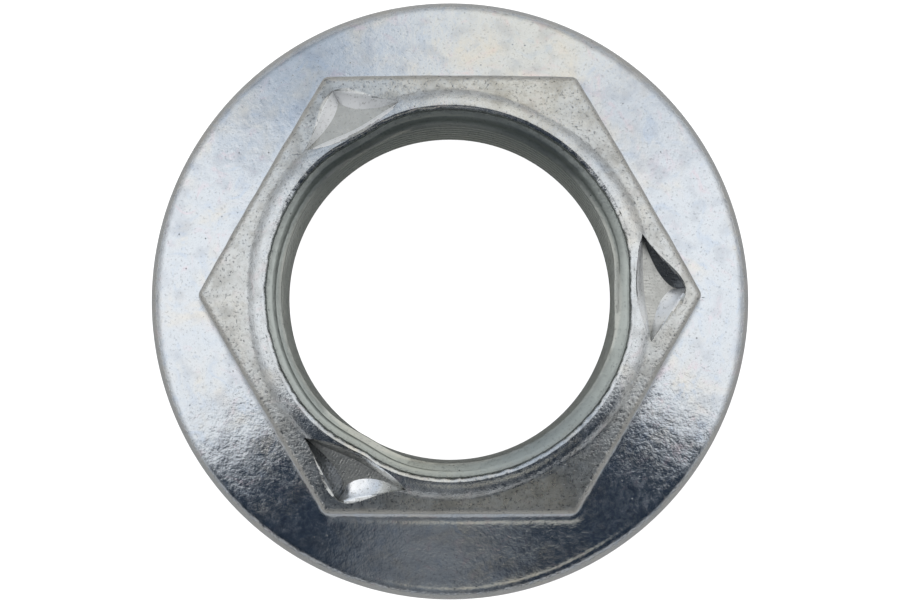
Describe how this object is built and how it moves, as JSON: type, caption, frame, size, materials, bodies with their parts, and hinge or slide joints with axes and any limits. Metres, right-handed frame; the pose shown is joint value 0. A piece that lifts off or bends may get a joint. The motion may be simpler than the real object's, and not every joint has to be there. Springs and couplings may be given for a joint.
{
  "type": "serrated flange nut",
  "caption": "Low hexagon nut on a wide forged flange, with a fine thread, a rolled lip punched in to lock it, and ratchet teeth on its bearing face.",
  "frame": {"origin": "on the thread axis, in the plane of the tooth crests on the bearing face", "axes": "+Z along the thread axis, from the bearing face to the lip; +X through a punched corner of the hexagon"},
  "size_m": [0.042, 0.042, 0.014],
  "materials": {
    "zinc_plated_steel": "bright zinc plate over forged steel, satin, faintly mottled"
  },
  "bodies": {
    "root": {"flange_nut": "zinc_plated_steel"}
  },
  "joints": []
}
